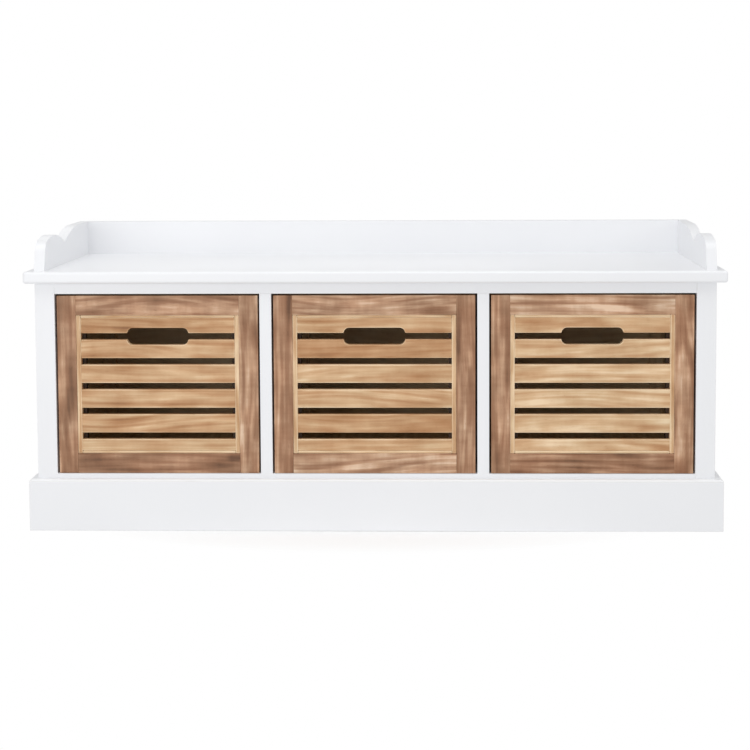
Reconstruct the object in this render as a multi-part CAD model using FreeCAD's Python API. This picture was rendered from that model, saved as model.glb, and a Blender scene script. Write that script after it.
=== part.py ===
import FreeCAD, Part
import os

# Entryway bench: a white lacquered carcass with a low gallery round the seat, standing on a
# plinth, with three slatted wooden crates that slide out of its bays.
# Millimetres. X runs along the bench, the front faces -Y and +Z is up. The origin lies on the
# floor, under the middle of the bench.

# Overall sizes.
overall_width = 1070.0
overall_depth = 370.0
seat_height = 400.0
gallery_height = 55.0

# Seat plank: it stands out over the front and both sides, and is flush at the back.
seat_thickness = 18.0
seat_overhang = 15.0
seat_nose_radius = 4.0
seat_corner_radius = 4.0

# Carcass boards.
side_thickness = 18.0
partition_thickness = 18.0
shelf_thickness = 15.0
shelf_height = 87.0
face_thickness = 18.0
stile_width = 30.0
top_rail_height = 17.0
back_panel_thickness = 5.0
back_panel_lap = 12.0

# Plinth: boards wrapped round the foot of the carcass, with a rail, bearers and glue blocks inside.
plinth_height = 80.0
plinth_thickness = 12.0
plinth_bevel = 3.0
back_rail_thickness = 16.0
bearer_thickness = 16.0
block_width = 30.0
block_height = 60.0

# Battens inside the bays: cleats under the seat, and guides behind the two outer stiles.
cleat_width = 17.0
guide_height = 20.0

# Gallery: two shaped ends and a straight back. Depths run back from the gallery's front corner,
# and drops run down from its highest line.
gallery_thickness = 16.0
gallery_setback = 12.0
gallery_corner_depth = 12.0
gallery_corner_drop = 14.5
gallery_corner_radius = 22.0
crown_depth = 71.0
crown_drop = 4.2
notch_depth = 150.0
notch_drop = 21.5
sweep_depth = 194.0
sweep_drop = 7.5
level_depth = 262.0

# Crates: clearances in the bay, then the framed front, its slats and the box behind it.
crate_side_gap = 3.0
crate_top_gap = 3.0
crate_running_gap = 0.3
crate_recess = 2.0
crate_back_gap = 2.0
crate_frame_thickness = 14.0
crate_stile_width = 29.0
crate_top_rail = 30.0
crate_bottom_rail = 30.5
bead_side_width = 7.0
bead_end_width = 4.0
bead_recess = 1.0
bead_joint_gap = 0.2
slat_recess = 2.0
slat_lap = 5.0
top_slat_height = 24.0
bottom_slat_height = 18.0
slot_height = 10.0
slot_count = 5
grip_width = 94.0
grip_height = 26.0
grip_corner_radius = 8.5
crate_board = 10.0
crate_side_drop = 6.0
crate_floor_thickness = 5.0
crate_floor_rise = 5.0
crate_groove_depth = 5.0
crate_groove_gap = 0.2
front_batten_thickness = 12.0
back_batten_size = 20.0

# Fasteners.
fastener_clearance = 0.1
screw_radius = 2.0
screw_head_radius = 4.0
screw_head_length = 2.6
screw_point_length = 4.0
cleat_screw_length = 28.0
gallery_screw_length = 40.0
dowel_radius = 4.0
dowel_length = 30.0
dowel_seat = 12.0
thin_dowel_radius = 3.0
thin_dowel_length = 24.0
thin_dowel_seat = 9.0
nail_radius = 0.9
nail_head_radius = 2.0
nail_head_length = 1.0
nail_length = 20.0
pin_radius = 0.7
pin_head_radius = 1.5
pin_head_length = 0.8
pin_length = 22.0

# Planes that the boards share.
front = -overall_depth / 2
back = overall_depth / 2
half_body = overall_width / 2 - seat_overhang
side_inner = half_body - side_thickness
stile_inner = half_body - stile_width
face = front + seat_overhang
face_rear = face + face_thickness
panel_front = back - back_panel_thickness
back_rail_front = panel_front - back_rail_thickness
seat_under = seat_height - seat_thickness
bay_top = seat_under - top_rail_height
shelf_under = shelf_height - shelf_thickness
bay_width = (2 * stile_inner - 2 * partition_thickness) / 3
partition_centre = bay_width / 2 + partition_thickness / 2
end_inner = half_body - gallery_thickness
gallery_top = seat_height + gallery_height

x_axis = FreeCAD.Vector(1, 0, 0)
y_axis = FreeCAD.Vector(0, 1, 0)
z_axis = FreeCAD.Vector(0, 0, 1)


def board(x, y, z):
    """A square-edged board between the limits given for each axis."""
    solid = Part.makeBox(x[1] - x[0], y[1] - y[0], z[1] - z[0])
    solid.translate(FreeCAD.Vector(x[0], y[0], z[0]))
    return solid


def mirrored(solid):
    """The same piece on the other side of the bench's middle."""
    return solid.mirror(FreeCAD.Vector(0, 0, 0), x_axis)


def spread(low, high, count):
    """Evenly spaced places from low to high, both ends included."""
    return [low + (high - low) * n / (count - 1) for n in range(count)]


def save(name, solids):
    """Writes one node, a single piece or a group of like pieces."""
    shape = solids[0] if len(solids) == 1 else Part.makeCompound(solids)
    shape.exportStep(f"parts/{name}.step")


def bored(solid, holes):
    """The piece with the holes cut that its fasteners need."""
    reached = [hole for hole in holes if hole.BoundBox.intersect(solid.BoundBox)]
    return solid.cut(Part.makeCompound(reached)).removeSplitter() if reached else solid


def screw(place, direction, length, spare=0.0):
    """A countersunk wood screw whose head is flush at place, or its hole where spare is given."""
    radius = screw_radius + spare
    head = Part.makeCone(
        screw_head_radius + spare, radius, screw_head_length, place, direction
    )
    shank = Part.makeCylinder(radius, length - screw_point_length, place, direction)
    point_place = place + direction * (length - screw_point_length)
    point = Part.makeCone(radius, radius / 4, screw_point_length + spare, point_place, direction)
    return head.fuse([shank, point]).removeSplitter()


def nail(place, direction, length, radius, head_radius, head_length, spare=0.0):
    """A flat-headed nail or pin with its head flush at place, or its hole where spare is given."""
    head = Part.makeCylinder(head_radius + spare, head_length, place, direction)
    shank = Part.makeCylinder(radius + spare, length + spare, place, direction)
    return head.fuse(shank).removeSplitter()


def dowel(place, direction, length, radius, spare=0.0):
    """A plain wooden dowel, or its hole where spare is given."""
    return Part.makeCylinder(radius + spare, length + 2 * spare, place - direction * spare, direction)


def edges_along(solid, axis, test):
    """The straight edges that run along an axis and whose middle passes the test."""
    found = []
    for edge in solid.Edges:
        if len(edge.Vertexes) != 2:
            continue
        run = edge.Vertexes[1].Point - edge.Vertexes[0].Point
        middle = (edge.Vertexes[1].Point + edge.Vertexes[0].Point) * 0.5
        if abs(abs(run.normalize() * axis) - 1) < 1e-6 and test(middle):
            found.append(edge)
    return found


# Carcass fasteners: each entry is a function that makes the fastener, or its hole with spare.
cleat_centre = cleat_width / 2
cleat_places = [
    -side_inner + cleat_centre,
    -partition_centre - partition_thickness / 2 - cleat_centre,
    -partition_centre + partition_thickness / 2 + cleat_centre,
    partition_centre - partition_thickness / 2 - cleat_centre,
    partition_centre + partition_thickness / 2 + cleat_centre,
    side_inner - cleat_centre,
]
cleat_inset = 50.0
end_screw_inset = 60.0
shelf_dowel_inset = 40.0
nail_inset = 14.0


def seat_screws(spare=0.0):
    """Screws up through the cleats, and up through the seat into the gallery boards."""
    made = []
    for x in cleat_places:
        for y in spread(face_rear + cleat_inset, panel_front - cleat_inset, 2):
            place = FreeCAD.Vector(x, y, bay_top)
            made.append(screw(place, z_axis, cleat_screw_length, spare))
    for x in spread(-end_inner + end_screw_inset, end_inner - end_screw_inset, 4):
        place = FreeCAD.Vector(x, back - gallery_thickness / 2, seat_under)
        made.append(screw(place, z_axis, gallery_screw_length, spare))
    for side in (-1, 1):
        for y in (front + gallery_setback + crown_depth, back - end_screw_inset):
            place = FreeCAD.Vector(side * (half_body - gallery_thickness / 2), y, seat_under)
            made.append(screw(place, z_axis, gallery_screw_length, spare))
    return made


def carcass_dowels(spare=0.0):
    """Dowels in the shelf's ends, the partitions' feet, the top rail and the gallery corners."""
    made = []
    depths = spread(face_rear + shelf_dowel_inset, back_rail_front - shelf_dowel_inset, 3)
    shelf_middle = shelf_height - shelf_thickness / 2
    for side in (-1, 1):
        inward = x_axis * -side
        for y in depths:
            in_side = FreeCAD.Vector(side * (side_inner + dowel_seat), y, shelf_middle)
            made.append(dowel(in_side, inward, dowel_length, dowel_radius, spare))
            in_shelf = FreeCAD.Vector(side * partition_centre, y, shelf_middle)
            made.append(dowel(in_shelf, z_axis, dowel_length, dowel_radius, spare))
        in_stile = FreeCAD.Vector(
            side * (stile_inner + dowel_seat), face + face_thickness / 2, bay_top + top_rail_height / 2
        )
        made.append(dowel(in_stile, inward, dowel_length, dowel_radius, spare))
        for share in (1 / 4, 3 / 4):
            in_end = FreeCAD.Vector(
                side * (end_inner + thin_dowel_seat),
                back - gallery_thickness / 2,
                seat_height + gallery_height * share,
            )
            made.append(dowel(in_end, inward, thin_dowel_length, thin_dowel_radius, spare))
    return made


def panel_nails(spare=0.0):
    """Nails through the back panel into the sides, the partitions and the shelf's back edge."""
    low = shelf_height + nail_inset
    high = seat_under - nail_inset
    places = []
    for side in (-1, 1):
        places += [(side * (half_body - side_thickness / 2), z) for z in spread(low, high, 5)]
        places += [(side * partition_centre, z) for z in spread(low, high, 4)]
    reach = side_inner - 3 * nail_inset
    places += [(x, shelf_height - shelf_thickness / 2) for x in spread(-reach, reach, 6)]
    sizes = (nail_length, nail_radius, nail_head_radius, nail_head_length, spare)
    return [nail(FreeCAD.Vector(x, back, z), -y_axis, *sizes) for x, z in places]


screw_holes = seat_screws(fastener_clearance)
dowel_holes = carcass_dowels(fastener_clearance)
nail_holes = panel_nails(fastener_clearance)
carcass_holes = screw_holes + dowel_holes + nail_holes


def seat():
    """The plank: square at the back, with a rounded nose along its front and both ends."""
    plank = board(
        (-overall_width / 2, overall_width / 2), (front, back), (seat_under, seat_height)
    )
    corners = edges_along(plank, z_axis, lambda m: m.y < 0)
    plank = plank.makeFillet(seat_corner_radius, corners)
    rim = []
    for edge in plank.Edges:
        box = edge.BoundBox
        level = box.ZLength < 1e-6
        if level and box.YMin < back - 1e-6:
            rim.append(edge)
    return bored(plank.makeFillet(seat_nose_radius, rim), carcass_holes)


def gallery_end():
    """One shaped end, at +X: a front lobe, a notch and a sweep up to the back's height."""
    start = front + gallery_setback

    def at(depth, drop):
        return FreeCAD.Vector(end_inner, start + depth, gallery_top - drop)

    foot = at(0, gallery_height)
    corner = at(gallery_corner_depth, gallery_corner_drop)
    notch = at(notch_depth, notch_drop)
    level = at(level_depth, 0)
    back_top = FreeCAD.Vector(end_inner, back, gallery_top)
    back_foot = FreeCAD.Vector(end_inner, back, seat_height)
    outline = [
        Part.LineSegment(foot, corner),
        Part.Arc(corner, at(crown_depth, crown_drop), notch),
        Part.Arc(notch, at(sweep_depth, sweep_drop), level),
        Part.LineSegment(level, back_top),
        Part.LineSegment(back_top, back_foot),
        Part.LineSegment(back_foot, foot),
    ]
    wire = Part.Wire([line.toShape() for line in outline])
    solid = Part.Face(wire).extrude(FreeCAD.Vector(gallery_thickness, 0, 0))
    shoulder = edges_along(
        solid, x_axis, lambda m: abs(m.y - corner.y) < 0.01 and abs(m.z - corner.z) < 0.01
    )
    return solid.makeFillet(gallery_corner_radius, shoulder)


def partition(side):
    """One divider between bays, notched at its top front corner for the top rail."""
    middle = side * partition_centre
    x = (middle - partition_thickness / 2, middle + partition_thickness / 2)
    whole = board(x, (face, panel_front), (shelf_height, seat_under))
    notch = board(x, (face, face_rear), (bay_top, seat_under))
    return bored(whole.cut(notch), carcass_holes)


def shelf():
    """The bottom shelf, with a tongue that comes forward between the two stiles."""
    z = (shelf_under, shelf_height)
    deck = board((-side_inner, side_inner), (face_rear, panel_front), z)
    tongue = board((-stile_inner, stile_inner), (face, face_rear), z)
    return bored(deck.fuse(tongue).removeSplitter(), carcass_holes)


def bevelled(solid, test):
    """A plinth board with its outer top edges bevelled."""
    edges = edges_along(solid, x_axis, test) + edges_along(solid, y_axis, test)
    return solid.makeChamfer(plinth_bevel, edges)


def plinth_side():
    """The side board at +X, butted behind the front board."""
    outer = half_body + plinth_thickness
    solid = board((half_body, outer), (face, back), (0, plinth_height))
    return bevelled(solid, lambda m: m.z > plinth_height - 0.01 and m.x > outer - 0.01)


def plinth_front():
    """The front board, which covers the side boards' ends."""
    outer = half_body + plinth_thickness
    lip = face - plinth_thickness
    solid = board((-outer, outer), (lip, face), (0, plinth_height))

    def outside(m):
        return m.z > plinth_height - 0.01 and (m.y < lip + 0.01 or abs(m.x) > outer - 0.01)

    return bevelled(solid, outside)


def glue_blocks():
    """Blocks in the plinth's corners, tight under the shelf."""
    z = (shelf_under - block_height, shelf_under)
    at_front = board((stile_inner - block_width, stile_inner), (face, face + block_width), z)
    at_back = board(
        (side_inner - block_width, side_inner), (back_rail_front - block_width, back_rail_front), z
    )
    return [at_front, at_back, mirrored(at_front), mirrored(at_back)]


def bearers():
    """Two boards on edge that carry the shelf under the partitions."""
    x = (partition_centre - bearer_thickness / 2, partition_centre + bearer_thickness / 2)
    right = board(x, (face, back_rail_front), (0, shelf_under))
    return [mirrored(right), right]


def cleats():
    """Battens along the tops of the sides and partitions: they hold the seat and keep crates level."""
    return [
        bored(
            board(
                (x - cleat_width / 2, x + cleat_width / 2), (face_rear, panel_front), (bay_top, seat_under)
            ),
            carcass_holes,
        )
        for x in cleat_places
    ]


def guides():
    """Battens on the shelf that fill out each side to its stile, so that the outer crates run straight."""
    right = board(
        (stile_inner, side_inner), (face_rear, panel_front), (shelf_height, shelf_height + guide_height)
    )
    return [mirrored(right), right]


def write_carcass():
    """The pieces that stay still."""
    side = bored(
        board((side_inner, half_body), (face_rear, panel_front), (0, seat_under)), carcass_holes
    )
    stile = bored(board((stile_inner, half_body), (face, face_rear), (0, seat_under)), carcass_holes)
    rail = board((-stile_inner, stile_inner), (face, face_rear), (bay_top, seat_under))
    gallery_back = board(
        (-end_inner, end_inner), (back - gallery_thickness, back), (seat_height, gallery_top)
    )
    back_rail = board((-side_inner, side_inner), (back_rail_front, panel_front), (0, shelf_under))
    panel = board(
        (-half_body, half_body), (panel_front, back), (shelf_under - back_panel_lap, seat_under)
    )
    end = bored(gallery_end(), carcass_holes)
    save("seat_top", [seat()])
    save("gallery_back", [bored(gallery_back, carcass_holes)])
    save("gallery_end_left", [mirrored(end)])
    save("gallery_end_right", [end])
    save("side_panel_left", [mirrored(side)])
    save("side_panel_right", [side])
    save("partition_left", [partition(-1)])
    save("partition_right", [partition(1)])
    save("bottom_shelf", [shelf()])
    save("back_panel", [bored(panel, nail_holes)])
    save("face_stile_left", [mirrored(stile)])
    save("face_stile_right", [stile])
    save("face_top_rail", [bored(rail, carcass_holes)])
    save("plinth_front", [plinth_front()])
    save("plinth_side_left", [mirrored(plinth_side())])
    save("plinth_side_right", [plinth_side()])
    save("plinth_back_rail", [back_rail])
    save("plinth_bearers", bearers())
    save("plinth_blocks", glue_blocks())
    save("seat_cleats", cleats())
    save("crate_guides", guides())
    save("seat_screws", seat_screws())
    save("dowels", carcass_dowels())
    save("back_panel_nails", panel_nails())


# Crate planes, for a crate centred on the origin's X.
crate_half = bay_width / 2 - crate_side_gap
crate_bottom = shelf_height + crate_running_gap
crate_top = bay_top - crate_top_gap
crate_front = face + crate_recess
crate_back = panel_front - crate_back_gap
crate_frame_rear = crate_front + crate_frame_thickness
crate_side_inner = crate_half - crate_board
crate_side_top = crate_top - crate_side_drop
floor_under = crate_bottom + crate_floor_rise
floor_top = floor_under + crate_floor_thickness
window_half = crate_half - crate_stile_width
window_bottom = crate_bottom + crate_bottom_rail
window_top = crate_top - crate_top_rail
slat_half = window_half - bead_side_width
slats_bottom = window_bottom + bead_end_width
slats_top = window_top - bead_end_width
slats_room = slats_top - slats_bottom - top_slat_height - bottom_slat_height
slat_height = (slats_room - slot_count * slot_height) / (slot_count - 1)
grip_centre = slats_top - top_slat_height - slot_height / 2
pin_inset = 30.0
pin_offset = 10.0


def grip_hole():
    """The finger hole through the top slot, with rounded corners."""
    hole = board(
        (-grip_width / 2, grip_width / 2),
        (crate_front - slat_recess, crate_frame_rear + slat_recess),
        (grip_centre - grip_height / 2, grip_centre + grip_height / 2),
    )
    return hole.makeFillet(grip_corner_radius, edges_along(hole, y_axis, lambda m: True))


def slats():
    """The front's slats from the top down, with the grip hole cut through the upper two."""
    heights = [top_slat_height] + [slat_height] * (slot_count - 1) + [bottom_slat_height]
    made = []
    top = slats_top
    for height in heights:
        slat = board(
            (-slat_half, slat_half), (crate_front + slat_recess, crate_frame_rear), (top - height, top)
        )
        made.append(bored(slat, [grip_hole()]))
        top -= height + slot_height
    return made


def beads():
    """The light strips round the slats: the long ones stand, the short ones lie between them."""
    y = (crate_front + bead_recess, crate_frame_rear)
    upright = board((slat_half, window_half), y, (window_bottom, window_top))
    reach = slat_half - bead_joint_gap
    lower = board((-reach, reach), y, (window_bottom, slats_bottom))
    upper = board((-reach, reach), y, (slats_top, window_top))
    return [mirrored(upright), upright, lower, upper]


def battens():
    """Upright battens: two behind the slats' ends, and two in the back corners."""
    z = (floor_top, crate_side_top)
    at_front = board(
        (slat_half - slat_lap, crate_side_inner),
        (crate_frame_rear, crate_frame_rear + front_batten_thickness),
        z,
    )
    inner_back = crate_back - crate_board
    at_back = board(
        (crate_side_inner - back_batten_size, crate_side_inner),
        (inner_back - back_batten_size, inner_back),
        z,
    )
    return [mirrored(at_front), at_front, mirrored(at_back), at_back]


def crate_pins(spare=0.0):
    """Pins through the sides and the back board into the upright battens."""
    sizes = (pin_length, pin_radius, pin_head_radius, pin_head_length, spare)
    batten_rows = (
        crate_frame_rear + front_batten_thickness / 2,
        crate_back - crate_board - back_batten_size / 2,
    )
    made = []
    for z in spread(floor_top + pin_inset, crate_side_top - pin_inset, 3):
        for side in (-1, 1):
            for y in batten_rows:
                made.append(nail(FreeCAD.Vector(side * crate_half, y, z), x_axis * -side, *sizes))
            x = side * (crate_side_inner - back_batten_size / 2)
            place = FreeCAD.Vector(x, crate_back, z - pin_offset)
            made.append(nail(place, -y_axis, *sizes))
    return made


def crate_side():
    """The side at +X, grooved for the floor. Its lower edge is what the crate runs on."""
    y = (crate_frame_rear, crate_back)
    solid = board((crate_side_inner, crate_half), y, (crate_bottom, crate_side_top))
    groove = board((crate_side_inner, crate_side_inner + crate_groove_depth), y, (floor_under, floor_top))
    return solid.cut(groove)


def write_crate(place, centre):
    """One crate: a slatted front in a frame, and an open box behind it."""
    y = (crate_front, crate_frame_rear)
    holes = crate_pins(fastener_clearance)
    stile = board((window_half, crate_half), y, (crate_bottom, crate_top))
    side = bored(crate_side(), holes)
    floor_half = crate_side_inner + crate_groove_depth - crate_groove_gap
    floor = board((-floor_half, floor_half), (crate_frame_rear, crate_back), (floor_under, floor_top))
    inner = (-crate_side_inner, crate_side_inner)
    back_board = board(inner, (crate_back - crate_board, crate_back), (floor_top, crate_side_top))
    across = (-window_half, window_half)
    pieces = {
        "front_stile_left": [mirrored(stile)],
        "front_stile_right": [stile],
        "front_rail_top": [board(across, y, (window_top, crate_top))],
        "front_rail_bottom": [board(across, y, (crate_bottom, window_bottom))],
        "front_slats": slats(),
        "front_beads": beads(),
        "side_left": [mirrored(side)],
        "side_right": [side],
        "back_board": [bored(back_board, holes)],
        "floor": [floor],
        "battens": [bored(batten, holes) for batten in battens()],
        "pins": crate_pins(),
    }
    for name, solids in pieces.items():
        moved = [solid.translated(FreeCAD.Vector(centre, 0, 0)) for solid in solids]
        save(f"crate_{place}_{name}", moved)


os.makedirs("parts", exist_ok=True)
write_carcass()
bay_pitch = bay_width + partition_thickness
for crate_place, crate_centre in (("left", -bay_pitch), ("centre", 0.0), ("right", bay_pitch)):
    write_crate(crate_place, crate_centre)
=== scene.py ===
import math
import random

import bmesh
import bpy
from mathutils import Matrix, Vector


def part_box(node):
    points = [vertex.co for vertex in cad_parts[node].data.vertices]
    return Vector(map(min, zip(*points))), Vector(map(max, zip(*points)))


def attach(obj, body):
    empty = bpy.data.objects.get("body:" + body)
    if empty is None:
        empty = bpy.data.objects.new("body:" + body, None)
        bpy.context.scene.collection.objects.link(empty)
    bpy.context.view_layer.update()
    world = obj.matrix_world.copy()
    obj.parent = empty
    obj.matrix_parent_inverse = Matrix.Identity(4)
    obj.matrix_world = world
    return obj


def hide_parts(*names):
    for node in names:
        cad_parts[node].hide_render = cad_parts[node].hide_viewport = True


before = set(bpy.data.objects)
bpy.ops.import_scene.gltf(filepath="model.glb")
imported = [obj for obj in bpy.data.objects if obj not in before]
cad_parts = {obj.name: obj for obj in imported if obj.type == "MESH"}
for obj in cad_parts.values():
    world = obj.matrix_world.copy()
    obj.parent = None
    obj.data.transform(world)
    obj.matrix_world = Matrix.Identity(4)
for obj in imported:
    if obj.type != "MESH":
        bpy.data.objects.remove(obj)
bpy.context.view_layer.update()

# ---------------------------------------------------------------------------------------------
# The stage. A plain white studio with a pale floor, an even white surround and four soft lights. A
# low one at the front left shades the bench gently towards its right end, a wide one overhead
# lights the seat, one fills from the right, and a weak one stands behind.


def linear(code):
    """A colour given as an sRGB hex value, as the linear RGBA that shaders take."""
    channels = [int(code[start : start + 2], 16) / 255 for start in (0, 2, 4)]
    return [c / 12.92 if c <= 0.04045 else ((c + 0.055) / 1.055) ** 2.4 for c in channels] + [1.0]


def add_node(tree, kind, inputs=None, **settings):
    """Adds one node with its settings. inputs maps a socket to a value, a socket or sockets."""
    node = tree.nodes.new(kind)
    for name, value in settings.items():
        setattr(node, name, value)
    for name, value in (inputs or {}).items():
        sources = value if isinstance(value, list) else [value]
        if isinstance(sources[0], bpy.types.NodeSocket):
            for source in sources:
                tree.links.new(source, node.inputs[name])
        else:
            node.inputs[name].default_value = value
    return node


def new_object(name, data):
    """Links new data to the scene as an object at the origin."""
    made = bpy.data.objects.new(name, data)
    bpy.context.scene.collection.objects.link(made)
    return made


def new_material(name):
    """A material with an empty tree and its output node."""
    made = bpy.data.materials.new(name)
    made.use_nodes = True
    made.node_tree.nodes.clear()
    return made, add_node(made.node_tree, "ShaderNodeOutputMaterial")


floor_half = 60.0
floor_drop = 0.0002
# The floor takes shadows under the bench, up to shadow_reach from its middle, and has faded into
# the white surround at clear_reach. Sideways both reach farther, as the bench is wider than deep.
shadow_reach = 0.18
clear_reach = 0.32
sideways_squeeze = 0.58
# The far floor and the surround look white, but light the bench less than they look.
surround_light = 0.58
floor_light = 0.8
floor_mesh = bpy.data.meshes.new("studio_floor")
floor_corners = [(-1, -1), (1, -1), (1, 1), (-1, 1)]
floor_mesh.from_pydata(
    [(x * floor_half, y * floor_half, -floor_drop) for x, y in floor_corners], [], [(0, 1, 2, 3)]
)
studio_floor = new_object("studio_floor", floor_mesh)
# White matt paint near the bench, which takes its soft shadow, and an even white glow farther off,
# so that the eye finds no horizon.
floor_material, floor_output = new_material("white_sweep")
floor_tree = floor_material.node_tree
floor_place = add_node(floor_tree, "ShaderNodeTexCoord").outputs["Object"]
floor_squeezed = add_node(
    floor_tree,
    "ShaderNodeVectorMath",
    {0: floor_place, 1: (sideways_squeeze, 1.0, 1.0)},
    operation="MULTIPLY",
)
floor_distance = add_node(
    floor_tree, "ShaderNodeVectorMath", {0: floor_squeezed.outputs[0]}, operation="LENGTH"
)
floor_fade = add_node(
    floor_tree,
    "ShaderNodeMapRange",
    {"Value": floor_distance.outputs["Value"], "From Min": shadow_reach, "From Max": clear_reach},
)
floor_paint = add_node(
    floor_tree,
    "ShaderNodeBsdfPrincipled",
    {"Base Color": linear("fcfcfc"), "Roughness": 0.9, "Specular IOR Level": 0.1},
)
floor_seen = add_node(floor_tree, "ShaderNodeLightPath").outputs["Is Camera Ray"]
floor_strength = add_node(
    floor_tree, "ShaderNodeMapRange", {"Value": floor_seen, "To Min": floor_light, "To Max": 1.0}
)
floor_glow = add_node(
    floor_tree,
    "ShaderNodeEmission",
    {"Color": linear("ffffff"), "Strength": floor_strength.outputs[0]},
)
floor_blend = add_node(
    floor_tree,
    "ShaderNodeMixShader",
    {0: floor_fade.outputs[0], 1: floor_paint.outputs[0], 2: floor_glow.outputs[0]},
)
floor_tree.links.new(floor_blend.outputs[0], floor_output.inputs["Surface"])
floor_mesh.materials.append(floor_material)

surround = bpy.data.worlds.new("white_surround")
surround.use_nodes = True
surround_tree = surround.node_tree
surround_seen = add_node(surround_tree, "ShaderNodeLightPath").outputs["Is Camera Ray"]
surround_strength = add_node(
    surround_tree,
    "ShaderNodeMapRange",
    {"Value": surround_seen, "To Min": surround_light, "To Max": 1.0},
)
backdrop = surround_tree.nodes["Background"]
backdrop.inputs["Color"].default_value = linear("ffffff")
surround_tree.links.new(surround_strength.outputs[0], backdrop.inputs["Strength"])
bpy.context.scene.world = surround
bpy.context.scene.view_settings.view_transform = "Standard"

seat_middle = Vector((0.0, 0.0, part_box("seat_top")[1][2]))
for light_name, place, width, power in (
    ("key_light", (-1.3, -3.1, 0.8), 1.4, 19.0),
    ("top_light", (-0.2, -0.9, 2.5), 2.2, 21.5),
    ("fill_light", (2.4, -0.6, 1.4), 1.2, 8.0),
    ("back_light", (-0.4, 2.6, 2.0), 1.6, 6.0),
):
    lamp = bpy.data.lights.new(light_name, "AREA")
    lamp.size = width
    lamp.energy = power
    soft_light = new_object(light_name, lamp)
    soft_light.visible_camera = False
    soft_light.location = place
    soft_light.rotation_euler = (seat_middle - Vector(place)).to_track_quat("-Z", "Y").to_euler()

# The camera stands in front, a little right of the middle and above the seat, and looks slightly
# down. The lens is long, so the front stays nearly square to the picture.
camera_data = bpy.data.cameras.new("camera")
camera_data.lens = 85.96
camera_data.sensor_width = 36.0
camera_data.shift_x = -0.03
camera_data.shift_y = -0.1587
camera = new_object("camera", camera_data)
camera.location = (0.1098, -2.8825, 0.6432)
camera_pitch = -0.0812
camera_yaw = 0.0268
camera_roll = 0.0044
camera.rotation_euler = (math.pi / 2 + camera_pitch, camera_roll, camera_yaw)
bpy.context.scene.camera = camera

# ---------------------------------------------------------------------------------------------
# Carcass boards. Fibreboard and solid wood, sawn square, the edges eased by hand with paper, then
# sprayed all over with satin white lacquer. They are glued, dowelled and screwed together.


def merged_copy(node):
    """An editable copy of a board's mesh, its triangles joined into whole flat faces."""
    same_place = 1e-6
    same_plane = math.radians(1)
    shape = bmesh.new()
    shape.from_mesh(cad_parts[node].data)
    bmesh.ops.remove_doubles(shape, verts=shape.verts, dist=same_place)
    bmesh.ops.dissolve_limit(
        shape, angle_limit=same_plane, verts=shape.verts, edges=shape.edges
    )
    return shape


def eased(shape, radius, segments=3):
    """Rounds every sharp edge, and marks the new faces as edge, for the wear that edges show."""
    worn = shape.faces.layers.float.new("edge")
    sharp_angle = math.radians(35)
    sharp = [e for e in shape.edges if e.is_manifold and e.calc_face_angle() > sharp_angle]
    rounded = bmesh.ops.bevel(
        shape,
        geom=sharp,
        offset=radius,
        segments=segments,
        profile=0.5,
        affect="EDGES",
        clamp_overlap=True,
    )
    for face in rounded["faces"]:
        face[worn] = 1.0


def mark_edges(shape):
    """Marks as edge every face that leans, because the boards' own faces are all square."""
    worn = shape.faces.layers.float["edge"]
    square = 0.99
    shape.normal_update()
    for face in shape.faces:
        face[worn] = 1.0 if max(abs(part) for part in face.normal) < square else 0.0


def corners(verts):
    """The lowest and the highest corner of the box round some vertices."""
    places = list(zip(*(vertex.co for vertex in verts)))
    return [Vector(min(values) for values in places), Vector(max(values) for values in places)]


def islands(shape):
    """The vertices of each separate solid in a mesh, in order of their middles."""
    shape.verts.index_update()
    left = set(shape.verts)
    found = []
    while left:
        reached = {left.pop()}
        border = list(reached)
        while border:
            vertex = border.pop()
            for edge in vertex.link_edges:
                other = edge.other_vert(vertex)
                if other in left:
                    left.discard(other)
                    reached.add(other)
                    border.append(other)
        found.append(sorted(reached, key=lambda v: v.index))
    return sorted(found, key=lambda verts: [round(c, 4) for c in sum(corners(verts), Vector()) / 2])


def lay_grain(shape, seed, tones, vary):
    """Makes each solid a board of its own: grain along its longest side, its own tone and rings.

    The tones are given out in turn, and vary is how far a board may stray from its tone. The same
    seed always gives the same boards.
    """
    grain = shape.verts.layers.float_vector.new("grain")
    board = shape.verts.layers.float_vector.new("board")
    draw = random.Random(seed)
    for number, verts in enumerate(islands(shape)):
        low, high = corners(verts)
        middle = (low + high) / 2
        along, across, through = sorted(range(3), key=lambda axis: low[axis] - high[axis])
        tone = tones[number % len(tones)] + draw.uniform(-vary, vary)
        own = Vector((draw.random(), draw.random(), tone))
        for vertex in verts:
            place = vertex.co - middle
            vertex[grain] = Vector((place[along], place[across], place[through]))
            vertex[board] = own


def finished(name, shape, material, body, node):
    """Turns an edited mesh into a shaded piece that rides on a body and stands for its node."""
    crease_angle = math.radians(40)
    mesh = bpy.data.meshes.new(name)
    shape.to_mesh(mesh)
    shape.free()
    mesh.shade_smooth()
    mesh.set_sharp_from_angle(angle=crease_angle)
    mesh.materials.append(material)
    made = new_object(name, mesh)
    made.modifiers.new("even_normals", "WEIGHTED_NORMAL").keep_sharp = True
    evaluated = made.evaluated_get(bpy.context.evaluated_depsgraph_get())
    made.data = bpy.data.meshes.new_from_object(evaluated)
    made.data.name = name
    made.modifiers.clear()
    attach(made, body)
    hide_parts(node)
    return made


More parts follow.
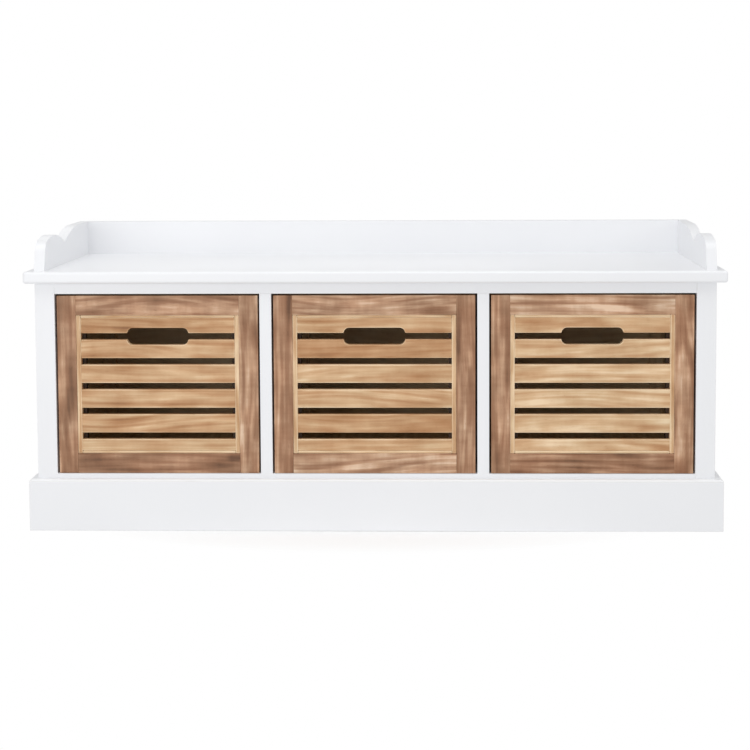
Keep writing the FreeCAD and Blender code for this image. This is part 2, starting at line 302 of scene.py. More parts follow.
def white_lacquer():
    """Satin white lacquer, sprayed over wood and fibreboard.

    The eye sees an even cool white with a soft sheen that a faint orange peel breaks up, and a
    warmer line where the paint lies thin on the eased edges.
    """
    made, output = new_material("satin_white_lacquer")
    tree = made.node_tree
    place = add_node(tree, "ShaderNodeTexCoord").outputs["Object"]
    peel_size = 0.004
    cloud_size = 0.18
    edge_thinness = 0.35
    peel_inputs = {"Vector": place, "Scale": 1 / peel_size, "Detail": 2.0}
    peel = add_node(tree, "ShaderNodeTexNoise", peel_inputs).outputs["Fac"]
    cloud_inputs = {"Vector": place, "Scale": 1 / cloud_size, "Detail": 3.0}
    cloud = add_node(tree, "ShaderNodeTexNoise", cloud_inputs).outputs["Fac"]
    edge = add_node(tree, "ShaderNodeAttribute", attribute_name="edge").outputs["Fac"]
    body_colour = add_node(
        tree,
        "ShaderNodeMix",
        {0: cloud, 6: linear("f0f1f4"), 7: linear("f4f5f7")},
        data_type="RGBA",
    )
    thin = add_node(tree, "ShaderNodeMath", {0: edge, 1: edge_thinness}, operation="MULTIPLY")
    colour = add_node(
        tree,
        "ShaderNodeMix",
        {0: thin.outputs[0], 6: body_colour.outputs[2], 7: linear("e4e2de")},
        data_type="RGBA",
    )
    rough = add_node(tree, "ShaderNodeMapRange", {"Value": cloud, "To Min": 0.28, "To Max": 0.4})
    bump_inputs = {"Height": peel, "Strength": 0.06, "Distance": 0.0005}
    bump = add_node(tree, "ShaderNodeBump", bump_inputs)
    paint = add_node(
        tree,
        "ShaderNodeBsdfPrincipled",
        {
            "Base Color": colour.outputs[2],
            "Roughness": rough.outputs[0],
            "Normal": bump.outputs[0],
            "IOR": 1.5,
            "Coat Weight": 0.15,
            "Coat Roughness": 0.2,
        },
    )
    tree.links.new(paint.outputs[0], output.inputs["Surface"])
    return made


lacquer = white_lacquer()


def lacquered(node, radius, segments=3):
    """One lacquered carcass board with its edges eased to a radius."""
    shape = merged_copy(node)
    eased(shape, radius, segments)
    finished(f"lacquered_{node}", shape, lacquer, "carcass", node)


# Paper takes about half a millimetre off an edge.
panel_edge = 0.0006
for panel in (
    "side_panel_left",
    "side_panel_right",
    "partition_left",
    "partition_right",
    "bottom_shelf",
    "face_stile_left",
    "face_stile_right",
    "face_top_rail",
):
    lacquered(panel, panel_edge)

# ---------------------------------------------------------------------------------------------
# The plinth. Three lacquered boards wrap the foot of the carcass, bevelled along the top, with
# the front board lapping the ends of the sides.

plinth_edge = 0.0008
for panel in ("plinth_front", "plinth_side_left", "plinth_side_right"):
    lacquered(panel, plinth_edge)

# ---------------------------------------------------------------------------------------------
# The seat. One wide lacquered plank with a rounded nose along the front and both ends, screwed
# on from below so that nothing shows on top.

seat_edge = 0.001
lacquered("seat_top", seat_edge)

# ---------------------------------------------------------------------------------------------
# The gallery. A straight back and two ends fret-cut to a front lobe, a notch and a long sweep,
# their edges rounded over before they were lacquered.

gallery_edge = 0.0022
gallery_segments = 4
for panel in ("gallery_back", "gallery_end_left", "gallery_end_right"):
    lacquered(panel, gallery_edge, gallery_segments)

# ---------------------------------------------------------------------------------------------
# The back panel. Thin hardboard, coated white on both faces. The press's wire screen has left a
# fine weave in the rear one. It is cut to lap the carcass, and nailed all round.


def hardboard():
    """White-coated hardboard, pressed on a wire screen.

    The eye sees a flat, dull off-white with faint dusty clouds, and the screen's weave from near.
    """
    made, output = new_material("white_coated_hardboard")
    tree = made.node_tree
    place = add_node(tree, "ShaderNodeTexCoord").outputs["Object"]
    # The real weave is 1.2 mm. It is drawn at 3 mm, so that it shows.
    weave_pitch = 0.003
    cloud_size = 0.12
    turned = add_node(tree, "ShaderNodeMapping", {0: place, 2: (0.0, math.radians(45), 0.0)})
    turns = add_node(
        tree,
        "ShaderNodeVectorMath",
        {0: turned.outputs[0], 3: math.tau / weave_pitch},
        operation="SCALE",
    )
    threads = add_node(tree, "ShaderNodeVectorMath", {0: turns.outputs[0]}, operation="SINE")
    thread = add_node(tree, "ShaderNodeSeparateXYZ", {0: threads.outputs[0]})
    weave = add_node(
        tree, "ShaderNodeMath", {0: thread.outputs[0], 1: thread.outputs[2]}, operation="MULTIPLY"
    )
    cloud_inputs = {"Vector": place, "Scale": 1 / cloud_size, "Detail": 4.0}
    cloud = add_node(tree, "ShaderNodeTexNoise", cloud_inputs).outputs["Fac"]
    colour = add_node(
        tree,
        "ShaderNodeMix",
        {0: cloud, 6: linear("dddcd8"), 7: linear("ecebe8")},
        data_type="RGBA",
    )
    bump_inputs = {"Height": weave.outputs[0], "Strength": 0.35, "Distance": 0.0003}
    bump = add_node(tree, "ShaderNodeBump", bump_inputs)
    rough = add_node(tree, "ShaderNodeMapRange", {"Value": cloud, "To Min": 0.6, "To Max": 0.75})
    coat = add_node(
        tree,
        "ShaderNodeBsdfPrincipled",
        {
            "Base Color": colour.outputs[2],
            "Roughness": rough.outputs[0],
            "Normal": bump.outputs[0],
            "IOR": 1.5,
        },
    )
    tree.links.new(coat.outputs[0], output.inputs["Surface"])
    return made


hardboard_edge = 0.0004
panel_shape = merged_copy("back_panel")
eased(panel_shape, hardboard_edge, 2)
finished("coated_back_panel", panel_shape, hardboard(), "carcass", "back_panel")


def zinc_plated_steel():
    """Bright zinc on steel wire.

    The eye sees a cool grey metal whose glints are broken up by zinc crystals and fine scratches.
    """
    made, output = new_material("zinc_plated_steel")
    tree = made.node_tree
    place = add_node(tree, "ShaderNodeTexCoord").outputs["Object"]
    crystal_size = 0.0015
    scratch_size = 0.0003
    scratch_depth = 0.00005
    crystal_inputs = {"Vector": place, "Scale": 1 / crystal_size}
    crystal = add_node(tree, "ShaderNodeTexVoronoi", crystal_inputs).outputs["Distance"]
    scratch_inputs = {"Vector": place, "Scale": 1 / scratch_size, "Detail": 2.0}
    scratch = add_node(tree, "ShaderNodeTexNoise", scratch_inputs).outputs["Fac"]
    colour = add_node(
        tree,
        "ShaderNodeMix",
        {0: crystal, 6: linear("b4b8bc"), 7: linear("d2d5d8")},
        data_type="RGBA",
    )
    rough = add_node(tree, "ShaderNodeMapRange", {"Value": scratch, "To Min": 0.25, "To Max": 0.5})
    bump_inputs = {"Height": scratch, "Strength": 0.1, "Distance": scratch_depth}
    bump = add_node(tree, "ShaderNodeBump", bump_inputs)
    plating = add_node(
        tree,
        "ShaderNodeBsdfPrincipled",
        {
            "Base Color": colour.outputs[2],
            "Metallic": 1.0,
            "Roughness": rough.outputs[0],
            "Normal": bump.outputs[0],
        },
    )
    tree.links.new(plating.outputs[0], output.inputs["Surface"])
    return made


zinc = zinc_plated_steel()


def node_tree(name, sizes):
    """A Geometry Nodes tree that takes points, named sizes and a material, and gives a mesh."""
    tree = bpy.data.node_groups.new(name, "GeometryNodeTree")
    sockets = tree.interface
    sockets.new_socket("Points", in_out="INPUT", socket_type="NodeSocketGeometry")
    for size in sizes:
        sockets.new_socket(size, in_out="INPUT", socket_type="NodeSocketFloat")
    sockets.new_socket("Material", in_out="INPUT", socket_type="NodeSocketMaterial")
    sockets.new_socket("Mesh", in_out="OUTPUT", socket_type="NodeSocketGeometry")
    return tree, add_node(tree, "NodeGroupInput").outputs


def placed_on_points(tree, given, piece):
    """Ends a tree: the piece on every point, its +Z turned along the point's drive attribute."""
    drive = add_node(
        tree, "GeometryNodeInputNamedAttribute", {"Name": "drive"}, data_type="FLOAT_VECTOR"
    )
    turned = add_node(
        tree, "FunctionNodeAlignRotationToVector", {"Vector": drive.outputs[0]}, axis="Z"
    )
    placed = add_node(
        tree,
        "GeometryNodeInstanceOnPoints",
        {"Points": given["Points"], "Instance": piece, "Rotation": turned.outputs[0]},
    )
    real = add_node(tree, "GeometryNodeRealizeInstances", {0: placed.outputs[0]})
    painted = add_node(
        tree, "GeometryNodeSetMaterial", {0: real.outputs[0], "Material": given["Material"]}
    )
    add_node(tree, "NodeGroupOutput", {0: painted.outputs[0]})


def solid_of_revolution(tree, start, depth, radius_start, radius_end, sides=20):
    """A straight or tapered round length along Z, from start, for a turned or drawn piece."""
    cone = add_node(
        tree,
        "GeometryNodeMeshCone",
        {
            "Vertices": sides,
            "Radius Bottom": radius_start,
            "Radius Top": radius_end,
            "Depth": depth,
        },
    )
    lift = add_node(tree, "ShaderNodeCombineXYZ", {"Z": start})
    return add_node(
        tree, "GeometryNodeTransform", {0: cone.outputs["Mesh"], "Translation": lift.outputs[0]}
    ).outputs[0]


def grown(tree, start_mesh, sizes, material, into):
    """Adds to a bmesh what a tree makes of a starting mesh, its named sizes and a material."""
    values = {**sizes, "Material": material}
    holder = new_object("start_of_tree", start_mesh)
    modifier = holder.modifiers.new("tree", "NODES")
    modifier.node_group = tree
    for socket in tree.interface.items_tree:
        if socket.name in values:
            modifier[socket.identifier] = values[socket.name]
    evaluated = holder.evaluated_get(bpy.context.evaluated_depsgraph_get())
    made = bpy.data.meshes.new_from_object(evaluated)
    bpy.data.objects.remove(holder)
    into.from_mesh(made)
    bpy.data.meshes.remove(made)


def fastener_points(node):
    """Points at the heads of a node's fasteners, grouped by length in whole millimetres."""
    rim_reach = 0.00005
    shape = merged_copy(node)
    groups = {}
    for verts in islands(shape):
        low, high = corners(verts)
        along = max(range(3), key=lambda axis: high[axis] - low[axis])
        middle = (low + high) / 2
        ends = []
        for end in (low[along], high[along]):
            rim = [v.co - middle for v in verts if abs(v.co[along] - end) < rim_reach]
            for offset in rim:
                offset[along] = 0.0
            ends.append((max(offset.length for offset in rim), end))
        head = max(ends)[1]
        place = middle.copy()
        place[along] = head
        drive = Vector()
        drive[along] = 1.0 if head == low[along] else -1.0
        groups.setdefault(round(1000 * (high[along] - low[along])), []).append((place, drive))
    shape.free()
    meshes = {}
    for length, heads in groups.items():
        mesh = bpy.data.meshes.new(f"{node}_points")
        mesh.from_pydata([place for place, _ in heads], [], [])
        drives = mesh.attributes.new("drive", "FLOAT_VECTOR", "POINT")
        drives.data.foreach_set("vector", [value for _, drive in heads for value in drive])
        meshes[length / 1000] = mesh
    return meshes


# A wire nail: a flat head with a chamfered rim, a plain shank, and a point two diameters long.
panel_nail = {"Shank radius": 0.0009, "Head radius": 0.002, "Head length": 0.001}
nail_tree, nail_given = node_tree("wire_nail", ("Length", *panel_nail))
nail_chamfer = 0.0002
nail_tip_radius = 0.0001
nail_sides = 10
point_in_radii = 4.0
nail_rim = add_node(
    nail_tree,
    "ShaderNodeMath",
    {0: nail_given["Head radius"], 1: nail_chamfer},
    operation="SUBTRACT",
)
nail_under = add_node(
    nail_tree,
    "ShaderNodeMath",
    {0: nail_given["Head length"], 1: nail_chamfer},
    operation="SUBTRACT",
)
nail_point = add_node(
    nail_tree,
    "ShaderNodeMath",
    {0: nail_given["Shank radius"], 1: point_in_radii},
    operation="MULTIPLY",
)
nail_straight = add_node(
    nail_tree,
    "ShaderNodeMath",
    {0: nail_given["Length"], 1: nail_point.outputs[0]},
    operation="SUBTRACT",
)
nail_lengths = [
    solid_of_revolution(
        nail_tree, 0.0, nail_chamfer, nail_rim.outputs[0], nail_given["Head radius"]
    ),
    solid_of_revolution(
        nail_tree,
        nail_chamfer,
        nail_under.outputs[0],
        nail_given["Head radius"],
        nail_given["Head radius"],
    ),
    solid_of_revolution(
        nail_tree,
        0.0,
        nail_straight.outputs[0],
        nail_given["Shank radius"],
        nail_given["Shank radius"],
        nail_sides,
    ),
    solid_of_revolution(
        nail_tree,
        nail_straight.outputs[0],
        nail_point.outputs[0],
        nail_given["Shank radius"],
        nail_tip_radius,
        nail_sides,
    ),
]
whole_nail = add_node(nail_tree, "GeometryNodeJoinGeometry", {0: nail_lengths})
placed_on_points(nail_tree, nail_given, whole_nail.outputs[0])


def nails(name, node, body, sizes):
    """The nails or pins of a node, grown on the places of their heads."""
    shape = bmesh.new()
    for length, points in fastener_points(node).items():
        grown(nail_tree, points, {"Length": length, **sizes}, zinc, shape)
    finished(name, shape, zinc, body, node)


nails("zinc_panel_nails", "back_panel_nails", "carcass", panel_nail)

# ---------------------------------------------------------------------------------------------
# Hidden timber of the carcass. Raw softwood battens, bearers, blocks and rail, sawn and screwed
# or glued where they don't show.


def wood(name, palette, contrast, figure, redness, ring_size, roughness, wear):
    """A timber whose palette runs from its darkest to its lightest grain.

    contrast scales every streak and patch, figure the ripple across the grain, redness how much
    redder some patches are, and wear how much lighter the eased edges. Sizes are in metres.
    """
    made, output = new_material(name)
    tree = made.node_tree
    grain = add_node(tree, "ShaderNodeAttribute", attribute_name="grain").outputs["Vector"]
    board = add_node(tree, "ShaderNodeAttribute", attribute_name="board").outputs["Vector"]
    edge = add_node(tree, "ShaderNodeAttribute", attribute_name="edge").outputs["Fac"]
    own = add_node(tree, "ShaderNodeSeparateXYZ", {0: board})
    # Each board takes its noise from a place of its own, so that no two are alike.
    spread = (37.0, 53.0, 0.0)
    elsewhere = add_node(tree, "ShaderNodeVectorMath", {0: board, 1: spread}, operation="MULTIPLY")

    def patches(place, length, width, detail=2.0):
        """Noise whose patches are length long along the grain and width wide across it."""
        scaled = add_node(
            tree,
            "ShaderNodeVectorMath",
            {0: place, 1: (1 / length, 1 / width, 1 / width), 2: elsewhere.outputs[0]},
            operation="MULTIPLY_ADD",
        )
        inputs = {"Vector": scaled.outputs[0], "Scale": 1.0, "Detail": detail, "Roughness": 0.6}
        return add_node(tree, "ShaderNodeTexNoise", inputs).outputs["Fac"]

    def weighed(start, *terms):
        """A start value plus each term times its weight."""
        total = start
        for value, weight in terms:
            inputs = {0: value, 1: weight, 2: total}
            total = add_node(tree, "ShaderNodeMath", inputs, operation="MULTIPLY_ADD").outputs[0]
        return total

    # The grain wanders sideways by a few millimetres over a hand's length.
    sway_reach = 0.03
    wander = patches(grain, length=0.26, width=0.1, detail=0.0)
    sway = weighed(-0.5 * sway_reach, (wander, sway_reach))
    swayed = add_node(tree, "ShaderNodeCombineXYZ", {1: sway, 2: sway})
    line = add_node(tree, "ShaderNodeVectorMath", {0: grain, 1: swayed.outputs[0]}, operation="ADD")
    line = line.outputs[0]

    # Growth rings are cylinders round the heart, which lies beside and below the sawn face. They
    # are drawn out lengthwise, so that the face shows long arches.
    ring_stretch = 0.06
    heart_side = add_node(
        tree, "ShaderNodeMapRange", {"Value": own.outputs[0], "To Min": -0.03, "To Max": 0.03}
    )
    heart_depth = add_node(
        tree, "ShaderNodeMapRange", {"Value": own.outputs[1], "To Min": 0.015, "To Max": 0.06}
    )
    heart = add_node(
        tree, "ShaderNodeCombineXYZ", {1: heart_side.outputs[0], 2: heart_depth.outputs[0]}
    )
    from_heart = add_node(
        tree,
        "ShaderNodeVectorMath",
        {0: line, 1: (ring_stretch, 1.0, 1.0), 2: heart.outputs[0]},
        operation="MULTIPLY_ADD",
    )
    radius = add_node(tree, "ShaderNodeVectorMath", {0: from_heart.outputs[0]}, operation="LENGTH")
    age = weighed(0.0, (radius.outputs["Value"], math.tau / ring_size))
    wave = add_node(tree, "ShaderNodeMath", {0: age}, operation="SINE").outputs[0]
    # The dark latewood fills half of each ring and fades into the pale wood on both sides.
    ring = add_node(
        tree,
        "ShaderNodeMapRange",
        {"Value": wave, "From Min": 0.0, "From Max": 1.0},
        interpolation_type="SMOOTHSTEP",
    ).outputs[0]

    # Real fibres and pores are 0.1 to 0.3 mm wide. They are drawn at over 1 mm, so that they show.
    streak = patches(line, length=0.16, width=0.007, detail=1.5)
    cloud = patches(line, length=0.06, width=0.02, detail=1.0)
    fibre = patches(line, length=0.05, width=0.0014)
    ripple = patches(grain, length=0.012, width=0.045)
    pore_noise = patches(line, length=0.009, width=0.0011)
    pore = add_node(
        tree, "ShaderNodeMapRange", {"Value": pore_noise, "From Min": 0.58, "From Max": 0.72}
    ).outputs[0]

    # Each noise swings round 0.5, so half of its weight is taken off again. The rings darken by
    # about 0.3 of theirs on average, which is given back.
    streak_weight = 0.9 * contrast
    cloud_weight = 1.0 * contrast
    fibre_weight = 0.17 * contrast
    ring_weight = 0.16 * contrast
    ring_mean = 0.3
    balance = 0.5 * (streak_weight + cloud_weight + fibre_weight + figure) - ring_mean * ring_weight
    shade = weighed(
        -balance,
        (own.outputs[2], 1.0),
        (streak, streak_weight),
        (cloud, cloud_weight),
        (fibre, fibre_weight),
        (ripple, figure),
        (ring, -ring_weight),
        (pore, -0.1),
        (edge, wear),
    )
    ramp = add_node(tree, "ShaderNodeValToRGB", {0: shade})
    stops = ramp.color_ramp.elements
    stops[0].position, stops[0].color = 0.0, linear(palette[0])
    stops[1].position, stops[1].color = 1.0, linear(palette[-1])
    for number, code in enumerate(palette[1:-1], 1):
        stops.new(number / (len(palette) - 1)).color = linear(code)
    red_tint = (1.08, 0.96, 0.9, 1.0)
    red_noise = patches(line, length=0.08, width=0.03)
    redder = add_node(
        tree,
        "ShaderNodeMapRange",
        {"Value": red_noise, "From Min": 0.35, "From Max": 0.65, "To Max": redness},
    )
    tinted = add_node(
        tree,
        "ShaderNodeMix",
        {0: redder.outputs[0], 6: ramp.outputs["Color"], 7: red_tint},
        data_type="RGBA",
        blend_type="MULTIPLY",
    )
    # The fibres stand up a little from the surface, the hard rings less, and the pores sink in.
    height = weighed(0.0, (fibre, 0.6), (pore, -0.8), (ring, 0.2))
    bump_inputs = {"Height": height, "Strength": 0.25, "Distance": 0.0004}
    bump = add_node(tree, "ShaderNodeBump", bump_inputs)
    # The sheen swings from fibre to fibre, and the open pores are duller.
    sheen_swing = 0.16
    sheen = weighed(roughness - 0.5 * sheen_swing, (fibre, sheen_swing), (pore, 0.1))
    shader = add_node(
        tree,
        "ShaderNodeBsdfPrincipled",
        {
            "Base Color": tinted.outputs[2],
            "Roughness": sheen,
            "Normal": bump.outputs[0],
            "IOR": 1.47,
        },
    )
    tree.links.new(shader.outputs[0], output.inputs["Surface"])
    return made


tone_spread = 0.05


def wooden(node, material, body, radius, tones, seed):
    """A wooden piece, or a group of like pieces, copied from its node with its edges eased."""
    shape = merged_copy(node)
    eased(shape, radius, 2)
    lay_grain(shape, seed, tones, tone_spread)
    return finished(f"wood_{node}", shape, material, body, node)


# Sawn pine with no finish: the eye sees pale yellowish timber, dry and matt, with narrow rings.
pine = wood(
    "sawn_pine",
    ("c4a374", "d6b98c", "e1c89f", "ead6b3", "f2e4c8"),
    contrast=0.8,
    figure=0.0,
    redness=0.3,
    ring_size=0.006,
    roughness=0.7,
    wear=0.0,
)
sawn_edge = 0.0005
middle_tone = (0.5,)
timber_seed = 60
for number, node in enumerate(
    ("plinth_back_rail", "plinth_bearers", "plinth_blocks", "seat_cleats", "crate_guides")
):
    seed = timber_seed + number
    wooden(node, pine, "carcass", sawn_edge, middle_tone, seed)

# ---------------------------------------------------------------------------------------------
# Seat screws. Zinc-plated countersunk wood screws with a cross recess, driven up through the
# cleats into the seat, and up through the seat into the gallery boards.

seat_screw = {
    "Shank radius": 0.002,
    "Head radius": 0.004,
    "Head length": 0.0026,
    "Point length": 0.004,
    "Pitch": 0.0018,
}
screw_tree, screw_given = node_tree("countersunk_screw", ("Length", *seat_screw))
# The core is 0.7 of the shank's radius, and the thread stands up by the rest.
core_share = 0.7
thread_share = 0.3
screw_tip_radius = 0.0002
head_sides = 28
core_sides = 14
screw_core = add_node(
    screw_tree,
    "ShaderNodeMath",
    {0: screw_given["Shank radius"], 1: core_share},
    operation="MULTIPLY",
).outputs[0]
screw_tip = add_node(
    screw_tree,
    "ShaderNodeMath",
    {0: screw_given["Length"], 1: screw_given["Point length"]},
    operation="SUBTRACT",
).outputs[0]
screw_head = solid_of_revolution(
    screw_tree,
    0.0,
    screw_given["Head length"],
    screw_given["Head radius"],
    screw_given["Shank radius"],
    head_sides,
)
# The cross recess is two narrow slots, as long as the head's radius.
recess_width = 0.0009
recess_depth = 0.004
recess_bars = []
for turn in (0.0, math.pi / 2):
    bar_size = add_node(
        screw_tree,
        "ShaderNodeCombineXYZ",
        {"X": screw_given["Head radius"], "Y": recess_width, "Z": recess_depth},
    )
    bar = add_node(screw_tree, "GeometryNodeMeshCube", {"Size": bar_size.outputs[0]})
    turned_bar = add_node(
        screw_tree,
        "GeometryNodeTransform",
        {0: bar.outputs["Mesh"], "Rotation": (0.0, 0.0, turn)},
    )
    recess_bars.append(turned_bar.outputs[0])
screw_driven_head = add_node(
    screw_tree,
    "GeometryNodeMeshBoolean",
    {"Mesh 1": screw_head, "Mesh 2": recess_bars},
    operation="DIFFERENCE",
    solver="EXACT",
)
# The thread is a ridge of triangular section, wound round the core from the head to the point.
thread_length = add_node(
    screw_tree,
    "ShaderNodeMath",
    {0: screw_tip, 1: screw_given["Head length"]},
    operation="SUBTRACT",
).outputs[0]
thread_turns = add_node(
    screw_tree, "ShaderNodeMath", {0: thread_length, 1: screw_given["Pitch"]}, operation="DIVIDE"
)
thread_path = add_node(
    screw_tree,
    "GeometryNodeCurveSpiral",
    {
        "Resolution": core_sides,
        "Rotations": thread_turns.outputs[0],
        "Start Radius": screw_core,
        "End Radius": screw_core,
        "Height": thread_length,
    },
)
thread_ridge = add_node(
    screw_tree,
    "ShaderNodeMath",
    {0: screw_given["Shank radius"], 1: thread_share},
    operation="MULTIPLY",
)
thread_section = add_node(
    screw_tree,
    "GeometryNodeCurvePrimitiveCircle",
    {"Resolution": 3, "Radius": thread_ridge.outputs[0]},
)
thread = add_node(
    screw_tree,
    "GeometryNodeCurveToMesh",
    {
        "Curve": thread_path.outputs[0],
        "Profile Curve": thread_section.outputs[0],
        "Fill Caps": True,
    },
)
thread_start = add_node(screw_tree, "ShaderNodeCombineXYZ", {"Z": screw_given["Head length"]})
thread_in_place = add_node(
    screw_tree,
    "GeometryNodeTransform",
    {0: thread.outputs[0], "Translation": thread_start.outputs[0]},
)
screw_lengths = [
    screw_driven_head.outputs["Mesh"],
    solid_of_revolution(
        screw_tree, screw_given["Head length"], thread_length, screw_core, screw_core, core_sides
    ),
    solid_of_revolution(
        screw_tree,
        screw_tip,
        screw_given["Point length"],
        screw_core,
        screw_tip_radius,
        core_sides,
    ),
    thread_in_place.outputs[0],
]
whole_screw = add_node(screw_tree, "GeometryNodeJoinGeometry", {0: screw_lengths})
placed_on_points(screw_tree, screw_given, whole_screw.outputs[0])

screw_shape = bmesh.new()
for length, points in fastener_points("seat_screws").items():
    grown(screw_tree, points, {"Length": length, **seat_screw}, zinc, screw_shape)
finished("zinc_seat_screws", screw_shape, zinc, "carcass", "seat_screws")

# ---------------------------------------------------------------------------------------------
# Dowels. Fluted beech pegs, glued into the shelf's ends, the partitions' feet, the top rail and
# the gallery's corners. The flutes let the glue out as they are tapped in.

dowel_tree, dowel_given = node_tree("fluted_dowel", ("Length", "Radius", "Flute radius"))
flute_count = 14
dowel_section = add_node(
    dowel_tree,
    "GeometryNodeCurveStar",
    {
        "Points": flute_count,
        "Inner Radius": dowel_given["Flute radius"],
        "Outer Radius": dowel_given["Radius"],
    },
)
dowel_end = add_node(dowel_tree, "ShaderNodeCombineXYZ", {"Z": dowel_given["Length"]})
dowel_path = add_node(
    dowel_tree, "GeometryNodeCurvePrimitiveLine", {"End": dowel_end.outputs[0]}
)
whole_dowel = add_node(
    dowel_tree,
    "GeometryNodeCurveToMesh",
    {
        "Curve": dowel_path.outputs[0],
        "Profile Curve": dowel_section.outputs[0],
        "Fill Caps": True,
    },
)
placed_on_points(dowel_tree, dowel_given, whole_dowel.outputs[0])

# Turned beech: dense and plain, so the eye sees an even pinkish wood with only fine short flecks.
beech = wood(
    "turned_beech",
    ("b98a62", "cfa27b", "ddb692", "e6c5a3", "efd5b8"),
    contrast=0.4,
    figure=0.0,
    redness=0.3,
    ring_size=0.004,
    roughness=0.6,
    wear=0.0,
)
# The 30 mm pegs are 8 mm thick, and the shorter ones 6 mm.
thick_length = 0.03
thick_radius = 0.004
thin_radius = 0.003
flute_share = 0.93
dowel_seed = 80
dowel_shape = bmesh.new()
for length, points in fastener_points("dowels").items():
    radius = thick_radius if length == thick_length else thin_radius
    sizes = {"Length": length, "Radius": radius, "Flute radius": flute_share * radius}
    grown(dowel_tree, points, sizes, beech, dowel_shape)
lay_grain(dowel_shape, dowel_seed, middle_tone, tone_spread)
finished("beech_dowels", dowel_shape, beech, "carcass", "dowels")

# ---------------------------------------------------------------------------------------------
# The crates. Each front is a frame of two stiles and two rails, planed from paulownia, glued edge
# to edge at the corners, and stained before its slats went in.

# Reddish walnut stain, wiped on: the soft grain took more of it and the hard streaks less, so the
# eye sees brown clouds with pinkish and pale streaks between them.
stained_wood = wood(
    "walnut_stained_paulownia",
    ("6a4830", "8b6346", "a27a5c", "c49f80", "e6cdb2"),
    contrast=0.98,
    figure=0.26,
    redness=0.7,
    ring_size=0.008,
    roughness=0.52,
    wear=0.08,
)
crates = ("left", "centre", "right")
frame_edge = 0.0007
frame_seed = 100
# How light the stain came out on each board.
stain_tones = {
    "left": {"stile_left": 0.53, "stile_right": 0.6, "rail_top": 0.57, "rail_bottom": 0.36},
    "centre": {"stile_left": 0.37, "stile_right": 0.48, "rail_top": 0.64, "rail_bottom": 0.73},
    "right": {"stile_left": 0.53, "stile_right": 0.55, "rail_top": 0.71, "rail_bottom": 0.38},
}
for crate_number, crate in enumerate(crates):
    for number, (part, tone) in enumerate(stain_tones[crate].items()):
        node = f"crate_{crate}_front_{part}"
        seed = frame_seed + 10 * crate_number + number
        wooden(node, stained_wood, f"crate_{crate}", frame_edge, (tone,), seed)

# ---------------------------------------------------------------------------------------------
# Slats and beads. Six pale slats, the upper two cut out for the fingers, and four light strips
# pinned round them, all oiled before they were let into the frame.

# A clear honey oil over the natural wood: the eye sees a warm, even wood with soft lengthwise
# streaks, and paler lines along the eased edges.
honey_wood = wood(
    "honey_oiled_paulownia",
    ("8f623c", "b08054", "c59b71", "d9b88f", "efd8b5"),
    contrast=0.82,
    figure=0.12,
    redness=0.45,
    ring_size=0.009,
    roughness=0.5,
    wear=0.28,
)
slat_tree, slat_given = node_tree("oiled_slat", ("Length", "Height", "Thickness", "Edge radius"))
slat_section = add_node(
    slat_tree,
    "GeometryNodeCurvePrimitiveQuadrilateral",
    {"Width": slat_given["Height"], "Height": slat_given["Thickness"]},
    mode="RECTANGLE",
)
rounded_section = add_node(
    slat_tree,
    "GeometryNodeFilletCurve",
    {"Curve": slat_section.outputs[0], "Count": 4, "Radius": slat_given["Edge radius"]},
    mode="POLY",
)
half_slat = add_node(
    slat_tree, "ShaderNodeMath", {0: slat_given["Length"], 1: 0.5}, operation="MULTIPLY"
)
slat_ends = [
    add_node(slat_tree, "ShaderNodeMath", {0: half_slat.outputs[0], 1: side}, operation="MULTIPLY")
    for side in (-1.0, 1.0)
]
slat_starts, slat_stops = [
    add_node(slat_tree, "ShaderNodeCombineXYZ", {"Z": end.outputs[0]}).outputs[0]
    for end in slat_ends
]
slat_path = add_node(
    slat_tree, "GeometryNodeCurvePrimitiveLine", {"Start": slat_starts, "End": slat_stops}
)
whole_slat = add_node(
    slat_tree,
    "GeometryNodeCurveToMesh",
    {
        "Curve": slat_path.outputs[0],
        "Profile Curve": rounded_section.outputs[0],
        "Fill Caps": True,
    },
)
placed_on_points(slat_tree, slat_given, whole_slat.outputs[0])

slat_edge = 0.0016
slat_corners = 8
slat_spread = 0.02


def slats(node, tones, seed, body):
    """A crate's slats: the plain ones are grown, the two cut for the fingers are copied."""
    shape = merged_copy(node)
    plain = [verts for verts in islands(shape) if len(verts) == slat_corners]
    groups = {}
    for verts in plain:
        low, high = corners(verts)
        size = tuple(round(side, 6) for side in high - low)
        groups.setdefault(size, []).append((low + high) / 2)
        bmesh.ops.delete(shape, geom=verts, context="VERTS")
    eased(shape, slat_edge)
    # The eased ones move to a clean mesh, so that the faces have the same order in each run.
    cut_slats = bpy.data.meshes.new("cut_slats")
    shape.to_mesh(cut_slats)
    shape.clear()
    shape.from_mesh(cut_slats)
    bpy.data.meshes.remove(cut_slats)
    for (length, thickness, height), middles in groups.items():
        mesh = bpy.data.meshes.new("slat_points")
        mesh.from_pydata(middles, [], [])
        drives = mesh.attributes.new("drive", "FLOAT_VECTOR", "POINT")
        drives.data.foreach_set("vector", (1.0, 0.0, 0.0) * len(middles))
        sizes = {
            "Length": length,
            "Height": height,
            "Thickness": thickness,
            "Edge radius": slat_edge,
        }
        grown(slat_tree, mesh, sizes, honey_wood, shape)
    mark_edges(shape)
    lay_grain(shape, seed, tones, slat_spread)
    finished(f"wood_{node}", shape, honey_wood, body, node)


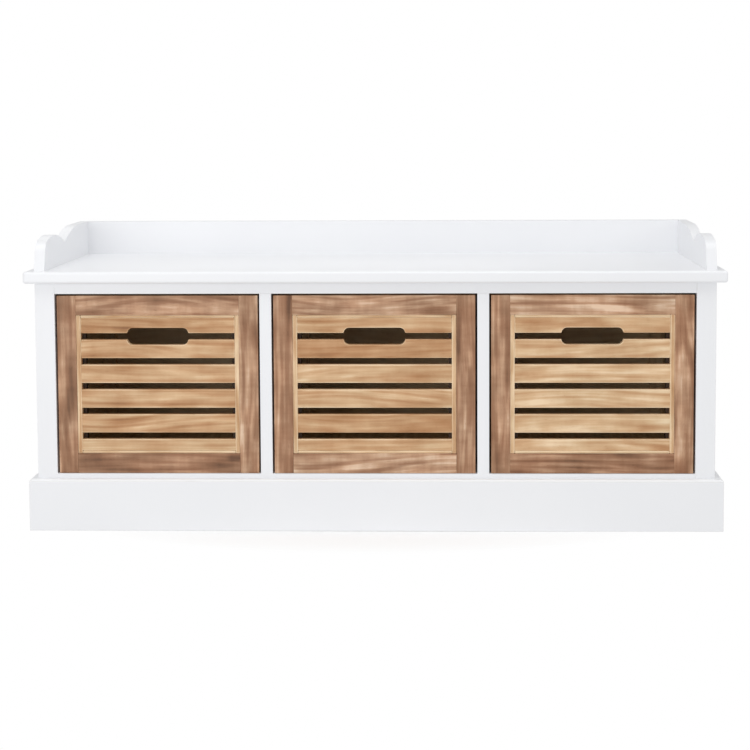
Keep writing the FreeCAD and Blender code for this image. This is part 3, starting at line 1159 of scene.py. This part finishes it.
# How light each slat is, from the bottom one up. They were sawn from different boards.
slat_tones = {
    "left": (0.69, 0.49, 0.53, 0.57, 0.48, 0.45),
    "centre": (0.6, 0.48, 0.6, 0.62, 0.37, 0.55),
    "right": (0.65, 0.75, 0.77, 0.66, 0.64, 0.54),
}
slat_seed = 200
# The beads are a little lighter than their crate's slats on average.
bead_edge = 0.0012
bead_seed = 230
bead_lift = 0.1
for number, crate in enumerate(crates):
    body = f"crate_{crate}"
    tones = slat_tones[crate]
    slats(f"crate_{crate}_front_slats", tones, slat_seed + number, body)
    node = f"crate_{crate}_front_beads"
    bead_tones = (bead_lift + sum(tones) / len(tones),)
    wooden(node, honey_wood, body, bead_edge, bead_tones, bead_seed + number)

# ---------------------------------------------------------------------------------------------
# Crate boxes. Sides, back and floor of the same wood left bare, pinned to upright battens. The
# two battens behind the slats' ends carry painted shade, nearly black brown, that stands for the
# shade seen between the slats.

# Bare sanded paulownia: the eye sees pale, dry, matt wood with faint streaks inside the crates.
bare_wood = wood(
    "bare_paulownia",
    ("b39468", "ccb089", "d9c09b", "e2cdac", "eddcc0"),
    contrast=0.6,
    figure=0.15,
    redness=0.3,
    ring_size=0.009,
    roughness=0.62,
    wear=0.04,
)
# Painted shade: the same wood coloured nearly black brown, so that the battens read as the shade
# between the slats.
painted_shade_wood = wood(
    "batten_painted_shade",
    ("2f2118", "38281c", "413022", "4b3829", "554131"),
    contrast=0.8,
    figure=0.1,
    redness=0.3,
    ring_size=0.009,
    roughness=0.6,
    wear=0.04,
)
box_edge = 0.0008
box_seed = 300
crate_pin = {"Shank radius": 0.0007, "Head radius": 0.0015, "Head length": 0.0008}
for crate_number, crate in enumerate(crates):
    body = f"crate_{crate}"
    for number, part in enumerate(("side_left", "side_right", "back_board", "floor", "battens")):
        node = f"crate_{crate}_{part}"
        seed = box_seed + 10 * crate_number + number
        made = wooden(node, bare_wood, body, box_edge, middle_tone, seed)
        # The battens' faces towards the front take the painted shade, and the rest stay bare wood.
        if part == "battens":
            made.data.materials.append(painted_shade_wood)
            for face in made.data.polygons:
                face.material_index = 1 if face.center.y < 0.0 else 0
    nails(f"zinc_{crate}_crate_pins", f"crate_{crate}_pins", body, crate_pin)
